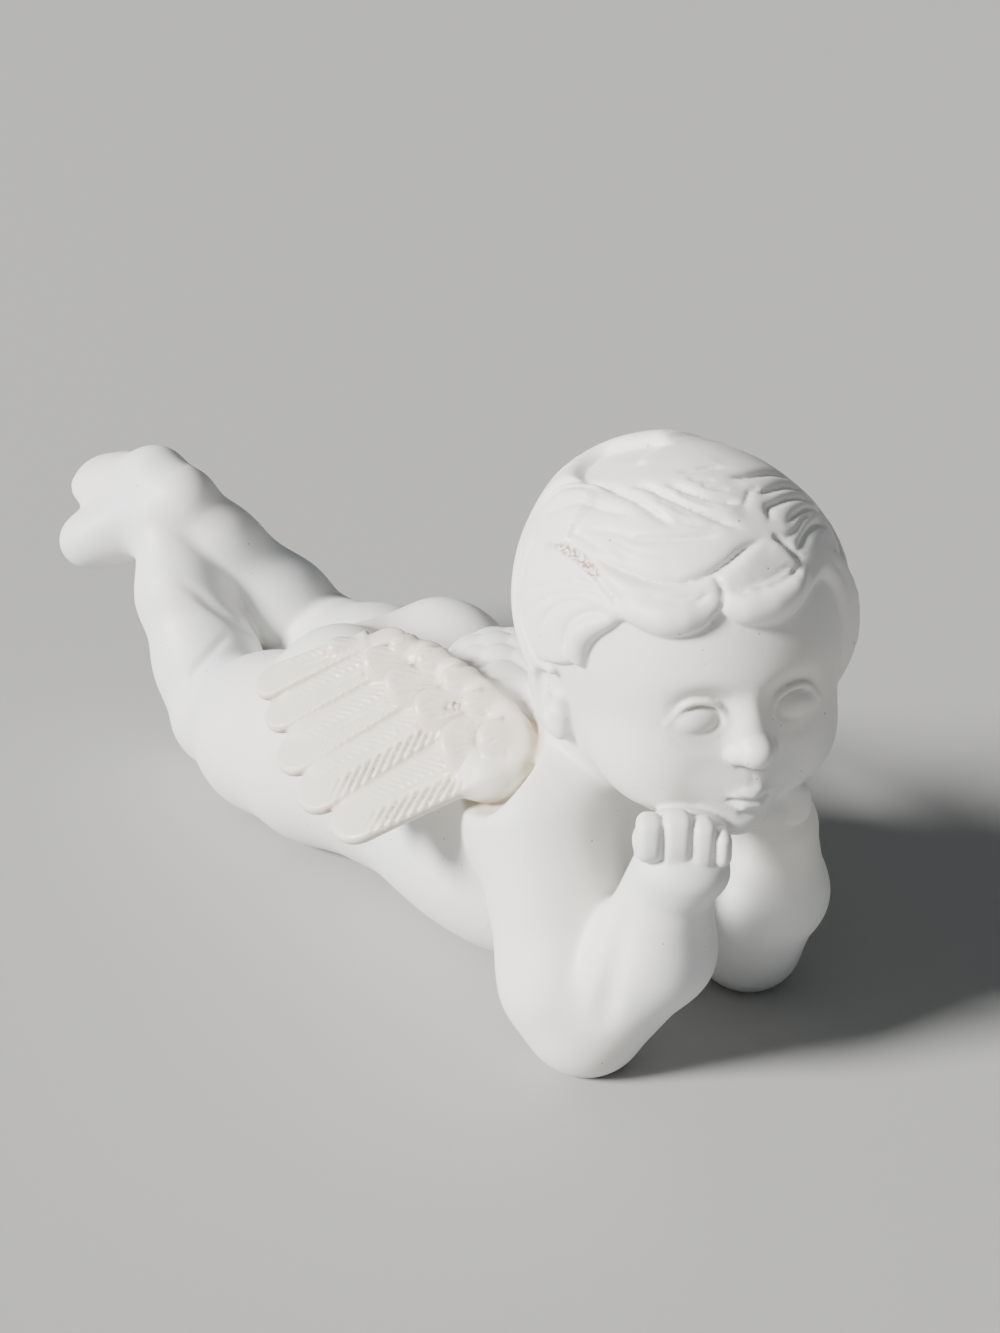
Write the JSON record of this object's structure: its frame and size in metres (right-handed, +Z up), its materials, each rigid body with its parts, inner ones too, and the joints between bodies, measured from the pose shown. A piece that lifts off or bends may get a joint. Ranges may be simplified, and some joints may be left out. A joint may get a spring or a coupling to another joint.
{
  "type": "cherub figurine",
  "caption": "White cast cherub figurine lying on its belly, chin on its fists and ankles crossed behind, with small feathered wings",
  "frame": {"origin": "middle of the figure's footprint, on the surface that it lies on", "axes": "+Y from the head to the feet, +X to the figure's left, +Z up"},
  "size_m": [0.131, 0.318, 0.1427],
  "materials": {
    "white_bisque": "satin"
  },
  "bodies": {
    "root": {"cherub_figurine": "white_bisque"}
  },
  "joints": []
}
